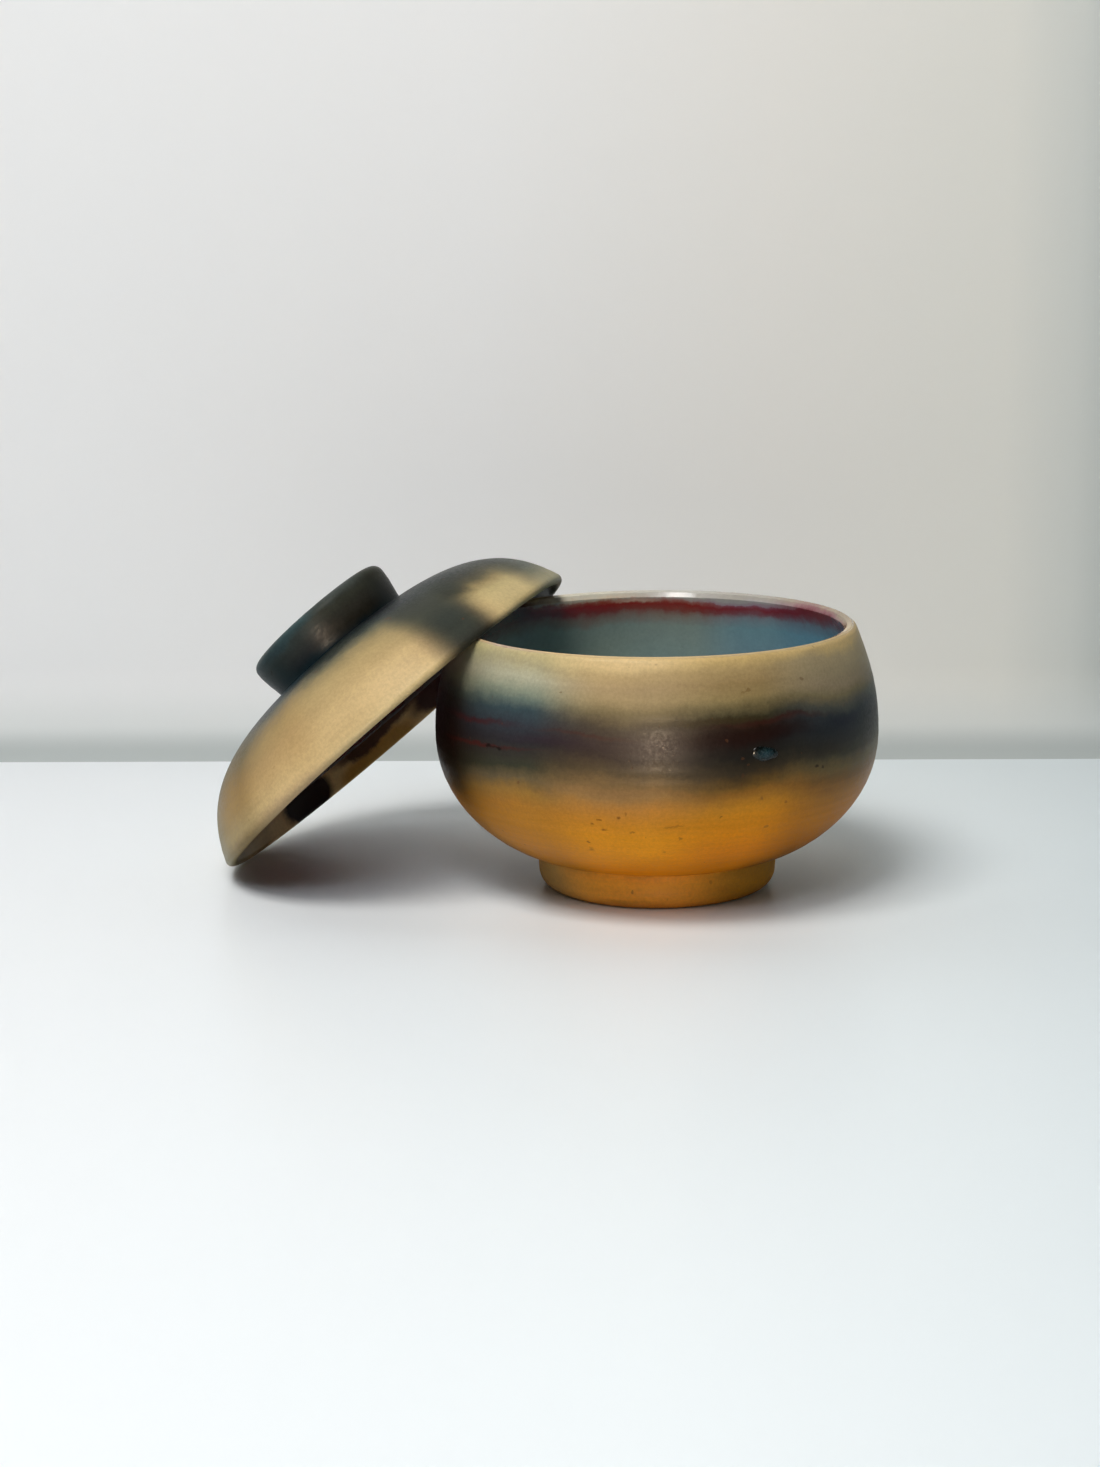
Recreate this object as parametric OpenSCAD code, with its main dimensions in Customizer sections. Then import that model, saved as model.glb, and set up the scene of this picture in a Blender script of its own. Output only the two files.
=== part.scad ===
// Lidded stoneware bowl for go stones: bowl on a turned foot, cap lid with a grip ring.
// Millimetres, +Z up. The origin is the centre of the foot's resting face.
// At rest the lid leans on the bowl's lip with its rim on the table.

/* [Bowl] */
// Widest diameter, across the belly
belly_d = 140.2; // [136:0.2:144]
// Height of the widest point above the table
belly_z = 50.4; // [48:0.2:53]
// Height of the lip's crest
bowl_h = 84.3; // [82:0.1:88]
// Diameter of the circle along the lip's crest
lip_d = 122.6; // [119:0.2:125]
// Thickness of the rounded lip
lip_t = 3.9; // [3.2:0.1:4.6]
// How far the wall below the lip leans from upright, in degrees
shoulder_lean = 21.2; // [17:0.2:26]
// Wall thickness at the belly
belly_t = 4.6; // [4:0.1:5.4]
// Wall thickness where the wall meets the foot
heel_t = 6.2; // [5.4:0.1:7]

/* [Foot ring] */
// Outer diameter where the foot meets the bowl
foot_top_d = 76.2; // [74:0.2:78]
// Outer diameter above the rounded base
foot_base_d = 75.2; // [73:0.2:76]
// Height of the foot ring
foot_h = 11.7; // [10.8:0.1:12.4]
// Inner diameter of the foot ring
foot_bore_d = 54; // [50:0.5:56]
// Depth of the turned recess under the bowl
recess_h = 8; // [6.6:0.2:8.8]
// Radius of the foot ring's worn inner edge
foot_edge_r = 0.9; // [0.4:0.1:1.4]
// Radius of the rounding at the foot ring's outer base
foot_round_r = 5.6; // [4:0.1:6]

/* [Lid] */
// Outer diameter of the lid at its rim
lid_d = 142.8; // [140:0.2:148]
// Thickness of the lid's rounded rim
rim_t = 3.6; // [3:0.1:4.4]
// Height of the dome from the rim's resting face to the grip ring
dome_h = 30.4; // [29:0.1:33]
// How far the dome leans inward just above the rim, in degrees
dome_lean = 21.4; // [14:0.2:28]
// Dome thickness at the centre
dome_t = 4.8; // [4:0.1:5.6]
// Width of the bare clay band inside the rim, measured along the axis
bare_band_h = 7; // [5:0.2:9]

/* [Grip ring] */
// Outer diameter of the grip ring at its root
grip_root_d = 50; // [46:0.5:53]
// Outer diameter of the grip ring near its top
grip_top_d = 52.8; // [50:0.2:56]
// Height of the grip ring above the dome
grip_h = 14.2; // [11:0.2:16]
// Wall thickness of the grip ring
grip_t = 5.4; // [4.4:0.1:6.2]
// How far the grip ring sits off the dome's middle, towards the bowl
grip_off = 2.8; // [0:0.1:3]

/* [Glaze] */
// Thickness of the glaze coats inside bowl and lid
glaze_t = 0.6; // [0.5:0.05:0.9]
// Height that the glaze drop stands proud of the belly
bead_h = 0.9; // [0.6:0.1:1.2]
// Height of the glaze drop above the table
bead_z = 55.4; // [52:0.2:58]
// Compass direction of the glaze drop, in degrees from +X
bead_azimuth = -62.6; // [-80:0.2:-50]

/* [Leaning lid] */
// Angle between the lid's axis and upright, in degrees
lid_tilt = 42.4; // [42.4:0.1:43.4]
// Compass direction in which the lid leans away, in degrees from +X
lid_azimuth = 166; // [150:0.5:180]
// Distance from the bowl's axis to the middle of the lid's rim
lid_reach = 86.5; // [86.5:0.1:92]

/* [Hidden] */
$fn = 240;
belly_r = belly_d / 2;
lip_r = lip_t / 2;
lip_c = [lip_d / 2, bowl_h - lip_r];
bead_r = 4.6;
bead_seat = belly_r - 0.1 + bead_h - bead_r;
bore_r = foot_bore_d / 2;
heel = [foot_top_d / 2, foot_h];
rim_r = rim_t / 2;
lid_r = lid_d / 2;
rim_c = [lid_r - rim_r, rim_r];
root = [grip_root_d / 2, dome_h];
shelf_r = grip_root_d / 2 + 3.2;
lid_z = (lid_r - rim_r) * sin(lid_tilt) + rim_r * (1 - cos(lid_tilt));

function bez(p, t) = pow(1 - t, 3) * p[0] + 3 * pow(1 - t, 2) * t * p[1]
    + 3 * (1 - t) * t * t * p[2] + pow(t, 3) * p[3];
function bez_dir(p, t) = pow(1 - t, 2) * (p[1] - p[0]) + 2 * (1 - t) * t * (p[2] - p[1])
    + t * t * (p[3] - p[2]);
function left_of(v) = [-v[1], v[0]] / norm(v);
function along(p, n) = [for (i = [0:n]) bez(p, i / n)];
// A curve moved to its left by a depth that goes from d0 to d1 along it.
function beside(p, n, d0, d1) =
    [for (i = [0:n]) bez(p, i / n) + (d0 + (d1 - d0) * i / n) * left_of(bez_dir(p, i / n))];
function arc(c, r, a0, a1, n) =
    [for (i = [0:n]) c + r * [cos(a0 + (a1 - a0) * i / n), sin(a0 + (a1 - a0) * i / n)]];
function flip(v) = [for (i = [len(v) - 1:-1:0]) v[i]];
function tail(v) = [for (i = [1:len(v) - 1]) v[i]];

// Bowl section: heel to belly, belly to lip, then the same two curves inside the wall.
lip_end = lip_c + lip_r * [cos(shoulder_lean), sin(shoulder_lean)];
lower = [heel, heel + [7, 0.5], [belly_r, belly_z - 25.6], [belly_r, belly_z]];
upper = [[belly_r, belly_z], [belly_r, belly_z + 12.8],
         lip_end + 12.8 * [sin(shoulder_lean), -cos(shoulder_lean)], lip_end];
function floor_curve(d) = let (s = bez(lower, 0.12)
        + (heel_t + d) * left_of(bez_dir(lower, 0.12)))
    [s, s + [-7, -1.6], [14, foot_h + heel_t - 3 + d], [0, foot_h + heel_t - 3 + d]];
function wall_inside(d) = concat(
    flip(tail(beside(upper, 14, belly_t + d, lip_t + d))),
    flip([for (i = [0:14]) let (t = 0.12 + 0.88 * i / 14) bez(lower, t)
        + (heel_t + (belly_t - heel_t) * (t - 0.12) / 0.88 + d) * left_of(bez_dir(lower, t))]),
    tail(along(floor_curve(d), 10)));

// Lid section, rim's resting face at height 0.
rim_out = rim_c + rim_r * [cos(dome_lean), sin(dome_lean)];
dome_side = [rim_out, rim_out + 15 * [-sin(dome_lean), cos(dome_lean)],
             [shelf_r + 28.1, dome_h - 2.8], [shelf_r, dome_h]];
crown = [[13.5, dome_h], [9, dome_h + 0.6], [5, dome_h + 0.9], [0, dome_h + 0.9]];
function dome_inside(d) = concat(
    [for (i = [1:18]) bez(dome_side, i / 18)
        + (rim_t + (dome_t - rim_t) * i / 18 + d) * left_of(bez_dir(dome_side, i / 18))],
    [[0, dome_h + 0.8 - dome_t - d]]);

module place_lid() {
  rotate([0, 0, lid_azimuth])
    translate([lid_reach, 0, lid_z])
      rotate([0, lid_tilt, 0])
        children();
}

module bowl_solid() {
  rotate_extrude()
    polygon(concat(
      [[0, recess_h], [bore_r, recess_h], [bore_r, foot_h]],
      along(lower, 18),
      tail(along(upper, 16)),
      tail(arc(lip_c, lip_r, shoulder_lean, 180 + shoulder_lean, 12)),
      tail(wall_inside(0))));
}

module bowl_body() {
  color([0.74, 0.56, 0.3])
    bowl_solid();
}

module bowl_foot_ring() {
  color([0.76, 0.57, 0.28])
    rotate_extrude()
      polygon(concat(
        [[bore_r, foot_h], [bore_r, recess_h], [bore_r + 0.2, foot_edge_r]],
        tail(arc([bore_r + 0.2 + foot_edge_r, foot_edge_r], foot_edge_r, 180, 270, 4)),
        arc([foot_base_d / 2 - foot_round_r, foot_round_r], foot_round_r, 270, 360, 10),
        [heel]));
}

module bowl_glaze_lining() {
  color([0.6, 0.66, 0.64])
    rotate_extrude()
      polygon(concat(wall_inside(0), flip(wall_inside(glaze_t))));
}

module glaze_bead() {
  color([0.1, 0.22, 0.22])
    difference() {
      rotate([0, 0, bead_azimuth])
        union() {
          translate([bead_seat, -1.25, bead_z + 0.15])
            sphere(r = bead_r);
          translate([bead_seat, 1.25, bead_z - 0.15])
            sphere(r = bead_r);
        }
      bowl_solid();
      translate([0, 0, bead_z - 20])
        cylinder(r = belly_r - 3, h = 40);
    }
}

module lid_dome() {
  color([0.75, 0.63, 0.42])
    place_lid()
      rotate_extrude()
        polygon(concat(
          arc(rim_c, rim_r, 180 + dome_lean, 360 + dome_lean, 14),
          tail(along(dome_side, 24)),
          along(crown, 6),
          flip(dome_inside(0))));
}

module lid_grip_ring() {
  top_r = grip_top_d / 2;
  top_z = dome_h + grip_h;
  bore = root[0] - grip_t + 0.2;
  color([0.2, 0.23, 0.22])
    place_lid()
      translate([-grip_off, 0, 0])
        rotate_extrude()
          polygon(concat(
            [root - [grip_t, 0], root],
            tail(along([root, root + [-0.2, 2.2], [top_r, dome_h + grip_h * 0.45],
                        [top_r, top_z - 3]], 8)),
            tail(along([[top_r, top_z - 3], [top_r, top_z - 1.2],
                        [top_r - 1.4, top_z], [top_r - 3, top_z]], 8)),
            tail(along([[top_r - 3, top_z], [top_r - 4.2, top_z],
                        [bore, top_z - 0.8], [bore, top_z - 2.4]], 6))));
}

module lid_glaze_lining() {
  color([0.36, 0.06, 0.08])
    place_lid()
      intersection() {
        rotate_extrude()
          polygon(concat(dome_inside(0), flip(dome_inside(glaze_t))));
        translate([0, 0, bare_band_h])
          cylinder(r = lid_r, h = dome_h);
      }
}

bowl_body();
bowl_foot_ring();
bowl_glaze_lining();
glaze_bead();
lid_dome();
lid_grip_ring();
lid_glaze_lining();
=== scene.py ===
"""Wheel-thrown stoneware bowl for go stones, with a loose cap lid that leans on its lip.

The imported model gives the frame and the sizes. Each thrown piece is a section turned about its own axis,
with the slight waver that hands leave in the clay, and each finish is a node material in real millimetres.
"""

import logging
import math
from dataclasses import dataclass, field
from enum import Enum
from typing import Callable

import bpy
import numpy as np
from mathutils import Matrix, Vector


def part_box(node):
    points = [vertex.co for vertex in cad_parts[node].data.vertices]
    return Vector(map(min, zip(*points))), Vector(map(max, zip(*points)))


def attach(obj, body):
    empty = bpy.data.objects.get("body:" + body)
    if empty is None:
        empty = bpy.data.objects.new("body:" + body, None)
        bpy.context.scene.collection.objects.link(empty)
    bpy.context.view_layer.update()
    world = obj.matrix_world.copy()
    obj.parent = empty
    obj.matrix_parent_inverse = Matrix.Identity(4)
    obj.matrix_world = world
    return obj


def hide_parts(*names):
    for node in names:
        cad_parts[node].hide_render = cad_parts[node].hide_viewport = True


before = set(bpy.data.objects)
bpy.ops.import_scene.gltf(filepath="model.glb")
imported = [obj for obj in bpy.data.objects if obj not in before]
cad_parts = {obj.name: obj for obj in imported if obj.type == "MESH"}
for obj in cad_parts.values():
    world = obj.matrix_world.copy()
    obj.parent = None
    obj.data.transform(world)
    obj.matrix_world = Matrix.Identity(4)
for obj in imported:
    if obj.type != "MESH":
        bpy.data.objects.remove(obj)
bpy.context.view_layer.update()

MM = 0.001
SEGMENTS = 288
SAME_POINT = 1e-6
JOIN_GAP = 0.02
# Heights in millimetres that the colour ramps of bowl, foot and lid run up to.
BOWL_TOP, FOOT_TOP, LID_TOP = 90.0, 14.0, 46.0
LOG = logging.getLogger("go_stone_bowl")


class Body(Enum):
    """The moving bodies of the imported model."""

    BOWL = "bowl"
    LID = "lid"


class Shape(Enum):
    """How the rows of a turned grid close."""

    POLES = "both ends of the section lie on the axis"
    RING = "the section is a closed loop"


# ---------------- curves of a section, in millimetres


def bezier(points: list[tuple[float, float]], steps: int, start: float = 0.0) -> np.ndarray:
    """Points of a cubic curve: the four handles weighted by the cubic Bernstein polynomials.

    Args:
        points: The curve's four handles, as (radius, height).
        steps: Number of intervals.
        start: Where on the curve to begin, from 0 to 1.

    Returns:
        An array of (radius, height), one row for each point.
    """
    p = np.asarray(points, float)
    t = np.linspace(start, 1.0, steps + 1)[:, None]
    s = 1.0 - t
    return s**3 * p[0] + 3 * s * s * t * p[1] + 3 * s * t * t * p[2] + t**3 * p[3]


def arc(centre: tuple[float, float], radius: float, start: float, end: float, steps: int) -> np.ndarray:
    """Points of a circular arc between two angles in degrees.

    Args:
        centre: Centre as (radius, height).
        radius: The arc's radius.
        start: First angle, in degrees from the outward direction.
        end: Last angle.
        steps: Number of intervals.

    Returns:
        An array of (radius, height).
    """
    a = np.radians(np.linspace(start, end, steps + 1))
    return np.stack([centre[0] + radius * np.cos(a), centre[1] + radius * np.sin(a)], -1)


def left_normals(line: np.ndarray) -> np.ndarray:
    """Unit normals on the left of a line: its direction at each point, turned a quarter turn.

    Args:
        line: Points in order.

    Returns:
        One unit vector for each point.
    """
    d = np.gradient(line, axis=0)
    n = np.stack([-d[:, 1], d[:, 0]], -1)
    return n / np.linalg.norm(n, axis=1)[:, None]


def beside(line: np.ndarray, depth: float | np.ndarray) -> np.ndarray:
    """A line moved to its left: each point plus its left normal times the depth there.

    Args:
        line: Points in order.
        depth: One depth, or one for each point.

    Returns:
        The moved points.
    """
    return line + left_normals(line) * np.broadcast_to(np.asarray(depth, float), len(line))[:, None]


def joined(*lines: np.ndarray) -> np.ndarray:
    """Lines set end to end, with points that repeat left out.

    Args:
        lines: The lines in order.

    Returns:
        One line.
    """
    line = np.vstack(lines)
    keep = np.append(True, np.linalg.norm(np.diff(line, axis=0), axis=1) > SAME_POINT)
    return line[keep]


def running(line: np.ndarray) -> np.ndarray:
    """The length run along a line up to each of its points."""
    return np.append(0.0, np.cumsum(np.linalg.norm(np.diff(line, axis=0), axis=1)))


def evenly(line: np.ndarray, step: float) -> np.ndarray:
    """The same line with points about one step apart, spaced by its running length.

    Args:
        line: Points in order.
        step: Wanted distance between points.

    Returns:
        The new points, with both ends kept.
    """
    run = running(line)
    at = np.linspace(0.0, run[-1], max(2, int(round(run[-1] / step)) + 1))
    return np.stack([np.interp(at, run, line[:, 0]), np.interp(at, run, line[:, 1])], -1)


def straight(start: tuple[float, float], end: tuple[float, float], step: float) -> np.ndarray:
    """A straight line from start to end, with points about one step apart."""
    return evenly(np.array([start, end], float), step)


def smooth_rise(x: np.ndarray, low: float, high: float) -> np.ndarray:
    """A smooth climb from 0 at low to 1 at high: 3t^2 - 2t^3 of the clipped share.

    Args:
        x: Where to read it.
        low: Where it leaves 0.
        high: Where it reaches 1.

    Returns:
        Values from 0 to 1.
    """
    t = np.clip((x - low) / (high - low), 0.0, 1.0)
    return t * t * (3 - 2 * t)


# ---------------- the waver of a thrown wall


@dataclass(frozen=True)
class HandThrown:
    """The small departures from round that a thrower's hands leave, in millimetres."""

    oval: float = 0.08
    three_lobed: float = 0.04
    ripple: float = 0.028
    pitch: float = 4.1
    twist: float = 0.7

    def shift(self, radius: np.ndarray, height: np.ndarray, angle: np.ndarray) -> np.ndarray:
        """Outward shift: two slow lobes round the wall, plus finger ripples that climb in a shallow spiral.

        Args:
            radius: Distance from the axis.
            height: Height along the axis.
            angle: Angle round the axis, in radians.

        Returns:
            The shift, which fades to nothing at the axis.
        """
        near_axis = smooth_rise(radius, 4.0, 30.0)
        lobes = self.oval * np.cos(2 * angle + 0.6 + height * 0.012)
        lobes = lobes + self.three_lobed * np.cos(3 * angle + 2.1)
        turn = (height + radius * 0.35) * 2 * np.pi / self.pitch
        finger = np.sin(turn + angle) * (0.65 + 0.35 * np.sin(turn * 0.23 + self.twist))
        return near_axis * (lobes + self.ripple * finger)


# ---------------- meshes


def mesh_object(name: str, points: np.ndarray, faces: list, sharp: float = 40.0) -> bpy.types.Object:
    """A smooth-shaded mesh object at the origin, in metres.

    Args:
        name: The piece's name.
        points: Vertices in millimetres.
        faces: Quads and triangles as vertex numbers.
        sharp: Edges that turn more than this many degrees stay crisp.

    Returns:
        The new object, linked to the scene.
    """
    mesh = bpy.data.meshes.new(name)
    mesh.from_pydata((points * MM).tolist(), [], faces)
    mesh.validate(verbose=False)
    mesh.polygons.foreach_set("use_smooth", np.ones(len(mesh.polygons), bool))
    mesh.set_sharp_from_angle(angle=math.radians(sharp))
    mesh.update()
    made = bpy.data.objects.new(name, mesh)
    bpy.context.scene.collection.objects.link(made)
    return made


def faces_of(rows: int, spokes: int, shape: Shape) -> list[list[int]]:
    """Quads between neighbouring rows of a turned grid, closed by two fans or by a last row of quads.

    Args:
        rows: Number of rows.
        spokes: Number of points in a row.
        shape: How the rows close.

    Returns:
        Faces as vertex numbers. The poles come after the grid, the first row's pole before the last row's.
    """
    number = np.arange(rows * spokes).reshape(rows, spokes)
    if shape is Shape.RING:
        number = np.vstack([number, number[:1]])
    low, high = number[:-1], number[1:]
    faces = np.stack([low, np.roll(low, -1, 1), np.roll(high, -1, 1), high], -1).reshape(-1, 4).tolist()
    if shape is Shape.POLES:
        begin, finish, pole = number[0], number[-1], np.full(spokes, rows * spokes)
        faces += np.stack([pole, np.roll(begin, -1), begin], -1).tolist()
        faces += np.stack([pole + 1, finish, np.roll(finish, -1)], -1).tolist()
    return faces


def turned(section: np.ndarray, shape: Shape, waver: HandThrown) -> tuple[np.ndarray, list[list[int]]]:
    """A section turned about the axis: x = r cos a, y = r sin a, z = h, with r shifted by the thrown waver.

    Args:
        section: Points as (radius, height), ordered so that the outside lies on the right of the path.
        shape: How the rows close.
        waver: The departures from round.

    Returns:
        Vertices in millimetres and the faces between them.
    """
    rows = section[1:-1] if shape is Shape.POLES else section
    angle = np.linspace(0, 2 * np.pi, SEGMENTS, endpoint=False)[None, :]
    r, h = rows[:, :1], rows[:, 1:]
    wide = r + waver.shift(r, h, angle)
    grid = np.stack([wide * np.cos(angle), wide * np.sin(angle), np.broadcast_to(h, wide.shape)], -1)
    points = grid.reshape(-1, 3)
    if shape is Shape.POLES:
        points = np.vstack([points, [[0, 0, section[0, 1]], [0, 0, section[-1, 1]]]])
    return points, faces_of(len(rows), SEGMENTS, shape)


def thrown(
    name: str, section: np.ndarray, shape: Shape, waver: HandThrown, place: Matrix = Matrix.Identity(4)
) -> bpy.types.Object:
    """A turned piece, carried to its place by a rigid move.

    Args:
        name: The piece's name.
        section: Points as (radius, height).
        shape: How the rows close.
        waver: The departures from round.
        place: The move, in millimetres.

    Returns:
        The piece.
    """
    points, faces = turned(section, shape, waver)
    move = np.array(place)
    return mesh_object(name, points @ move[:3, :3].T + move[:3, 3], faces)


# ---------------- colours and nodes


def linear(code: str) -> tuple[float, float, float, float]:
    """An sRGB hex colour as linear light.

    Args:
        code: Six hex digits.

    Returns:
        Linear red, green and blue, with alpha 1.
    """
    c = np.array([int(code[i : i + 2], 16) for i in (0, 2, 4)]) / 255
    return (*np.where(c <= 0.04045, c / 12.92, ((c + 0.055) / 1.055) ** 2.4).tolist(), 1.0)


SMOOTH = {"interpolation_type": "SMOOTHSTEP"}
COLOURS = {"out": 2, "data_type": "RGBA"}


class Bench:
    """One material's nodes, added one at a time."""

    def __init__(self, name: str) -> None:
        """Starts an empty material of this name."""
        self.material = bpy.data.materials.new(name)
        self.material.use_nodes = True
        self.tree = self.material.node_tree
        self.tree.nodes.clear()

    def add(
        self,
        kind: str,
        inputs: dict | tuple = (),
        out: int | str = 0,
        ramp: list | None = None,
        **settings: object,
    ) -> bpy.types.NodeSocket | None:
        """Adds a node, sets it up, links it and gives one of its outputs.

        Args:
            kind: The node type, without its ShaderNode prefix.
            inputs: Values, or sockets that feed them: in order, or by input number or name.
            out: The output that is wanted.
            ramp: For a colour ramp, (position, hex colour) pairs.
            settings: The node's own settings.

        Returns:
            The wanted output, or None where the node has none.
        """
        made = self.tree.nodes.new("ShaderNode" + kind)
        for key, value in settings.items():
            setattr(made, key, value)
        for key, value in inputs.items() if isinstance(inputs, dict) else enumerate(inputs):
            if isinstance(value, bpy.types.NodeSocket):
                self.tree.links.new(value, made.inputs[key])
            else:
                made.inputs[key].default_value = value
        if ramp:
            stops = made.color_ramp.elements
            for place, code in ramp[1:-1]:
                stops.new(place).color = linear(code)
            stops[0].position, stops[0].color = ramp[0][0], linear(ramp[0][1])
            stops[-1].position, stops[-1].color = ramp[-1][0], linear(ramp[-1][1])
        return made.outputs[out] if made.outputs else None

    def skin(self, paint: object, rough: object, gloss: float, relief: tuple = ()) -> bpy.types.Material:
        """Closes the material with a surface whose relief is laid one layer over another.

        Args:
            paint: The colour.
            rough: The roughness.
            gloss: The strength of the reflection.
            relief: Layers as (height, depth in millimetres, whether it sinks in).

        Returns:
            The finished material.
        """
        inputs = {"Base Color": paint, "Roughness": rough, "Specular IOR Level": gloss}
        for height, depth, sinks in relief:
            layer = {"Height": height, "Distance": depth * MM}
            if "Normal" in inputs:
                layer["Normal"] = inputs["Normal"]
            inputs["Normal"] = self.add("Bump", layer, invert=sinks)
        return self.closed(self.add("BsdfPrincipled", inputs))

    def closed(self, shader: bpy.types.NodeSocket) -> bpy.types.Material:
        """Links the shader to the output and gives the material."""
        self.add("OutputMaterial", {"Surface": shader})
        return self.material


@dataclass(frozen=True)
class StainAndHighlight:
    """A soft-edged mark on a wall: an ellipsoid of colour about a point of the wall, in millimetres. Most are
    real discolouring; the pale spot in the bowl's lining is a painted highlight.
    """

    azimuth: float
    height: float
    wide: float
    tall: float
    colour: str
    strength: float = 1.0
    core: float = 0.0
    lean: float = 0.0
    inside: bool = False
    deep: float = 30.0


@dataclass(frozen=True)
class Side:
    """The colours up a wall in the direction of one azimuth, which fade out at its reach, both in degrees.

    The stops are written as heights in millimetres with their hex colours.
    """

    azimuth: float
    reach: float
    stops: str

    def ramp(self, top: float) -> list[tuple[float, str]]:
        """The stops as (share of the height top, hex colour)."""
        pairs = (stop.split() for stop in self.stops.split(","))
        return [(float(height) / top, code) for height, code in pairs]


@dataclass(frozen=True)
class Drift:
    """A noise that makes the edges of marks wander, and how far it carries them, in metres."""

    scale: float
    detail: float
    rough: float
    reach: tuple[float, float, float]


DRIFTS = (Drift(26.0, 3.0, 0.5, (0.012, 0.012, 0.010)), Drift(260.0, 4.0, 0.7, (0.003, 0.003, 0.003)))


@dataclass(frozen=True)
class Painter:
    """Lays the sides and marks of a smoke-fired wall on a bench, in the piece's own turned frame. A few of
    them are partly painted light, as noted at the palettes.

    The wall's middle is the cone of points whose radius plus their height times mid_slope is mid_radius.
    """

    place: Matrix
    wall: Callable[[float], float]
    top: float
    sides: tuple[Side, ...]
    stains_and_highlights: tuple[StainAndHighlight, ...]
    mid_radius: float = 0.0
    mid_slope: float = 0.0
    mid_blur: float = 0.5

    def local(self, bench: Bench) -> bpy.types.NodeSocket:
        """Object coordinates carried into the piece's own frame, in metres.

        Args:
            bench: The material's nodes.

        Returns:
            The place socket.
        """
        where, turn, _ = self.place.decompose()
        inputs = (bench.add("TexCoord", out="Object"), where * MM, turn.to_euler("XYZ"))
        return bench.add("Mapping", inputs, vector_type="TEXTURE")

    def colour(self, bench: Bench, at: bpy.types.NodeSocket) -> bpy.types.NodeSocket:
        """The wall's colour: a ramp up the height for each side, mixed by direction, with the marks on top.

        Args:
            bench: The material's nodes.
            at: The piece's own coordinates.

        Returns:
            The colour socket.
        """
        moved = at
        for drift in DRIFTS:
            inputs = {"Vector": at, "Scale": drift.scale, "Detail": drift.detail, "Roughness": drift.rough}
            cloud = bench.add("TexNoise", inputs, 1)
            off = bench.add("VectorMath", (cloud, (0.5, 0.5, 0.5)), operation="SUBTRACT")
            off = bench.add("VectorMath", (off, drift.reach), operation="MULTIPLY")
            moved = bench.add("VectorMath", (moved, off), operation="ADD")
        share = bench.add("Math", (bench.add("SeparateXYZ", (moved,), 2), self.top * MM), operation="DIVIDE")
        flat = bench.add("VectorMath", (at, (1, 1, 0)), operation="MULTIPLY")
        outward = bench.add("VectorMath", (flat,), operation="NORMALIZE")
        paint = None
        for side in self.sides:
            tone = bench.add("ValToRGB", (share,), ramp=side.ramp(self.top))
            if paint is None:
                paint = tone
                continue
            a = math.radians(side.azimuth)
            facing = (outward, (math.cos(a), math.sin(a), 0))
            dot = bench.add("VectorMath", facing, 1, operation="DOT_PRODUCT")
            edge = math.cos(math.radians(side.reach))
            weight = bench.add("MapRange", (dot, edge, 1.0, 0.0, 1.0), **SMOOTH)
            paint = bench.add("Mix", {0: weight, 6: paint, 7: tone}, **COLOURS)
        inner = self.inner_side(bench, at, flat) if self.mid_radius else 1.0
        for patch in self.stains_and_highlights:
            paint = self.laid_patch(bench, moved, paint, patch, inner)
        return paint

    def inner_side(self, bench: Bench, at: object, flat: object) -> bpy.types.NodeSocket:
        """A share of 1 on the wall's inner side and 0 on its outer side.

        Args:
            bench: The material's nodes.
            at: The piece's own coordinates.
            flat: The same, laid flat on the level of the axis' foot.

        Returns:
            The share.
        """
        fall = bench.add("Math", (bench.add("SeparateXYZ", (at,), 2), self.mid_slope), operation="MULTIPLY")
        reach = bench.add("VectorMath", (flat,), 1, operation="LENGTH")
        level = bench.add("Math", (reach, fall), operation="ADD")
        low, high = (self.mid_radius - self.mid_blur) * MM, (self.mid_radius + self.mid_blur) * MM
        return bench.add("MapRange", (level, low, high, 1.0, 0.0), **SMOOTH)

    def laid_patch(
        self, bench: Bench, at: object, paint: object, patch: StainAndHighlight, inner: object
    ) -> bpy.types.NodeSocket:
        """One patch laid over the paint, which is a real discolouring or a painted highlight: its share falls
        with the distance measured in patch widths.

        Args:
            bench: The material's nodes.
            at: The piece's own coordinates, with their drift.
            paint: The colour so far.
            patch: The mark: a real discolouring, or the painted highlight in the bowl's lining.
            inner: The share of the wall's inner side.

        Returns:
            The new colour.
        """
        a, r = math.radians(patch.azimuth), self.wall(patch.height)
        centre = (r * MM * math.cos(a), r * MM * math.sin(a), patch.height * MM)
        size = (patch.deep * MM, patch.wide * MM, patch.tall * MM)
        inputs = (at, centre, (math.radians(patch.lean), 0.0, a), size)
        around = bench.add("Mapping", inputs, vector_type="TEXTURE")
        away = bench.add("VectorMath", (around,), 1, operation="LENGTH")
        share = bench.add("MapRange", (away, patch.core, 1.0, patch.strength, 0.0), **SMOOTH)
        if patch.inside:
            share = bench.add("Math", (share, inner), operation="MULTIPLY")
        return bench.add("Mix", {0: share, 6: paint, 7: linear(patch.colour)}, **COLOURS)


# ---------------- finishes


@dataclass(frozen=True)
class Grain:
    """A noise: how wide its grains are in millimetres, its detail and its roughness."""

    width: float
    detail: float = 2.0
    rough: float = 0.5

    def at(self, where: object) -> dict[str, object]:
        """The noise node's inputs at these coordinates."""
        scale = 1 / (self.width * MM)
        return {"Vector": where, "Scale": scale, "Detail": self.detail, "Roughness": self.rough}


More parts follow.
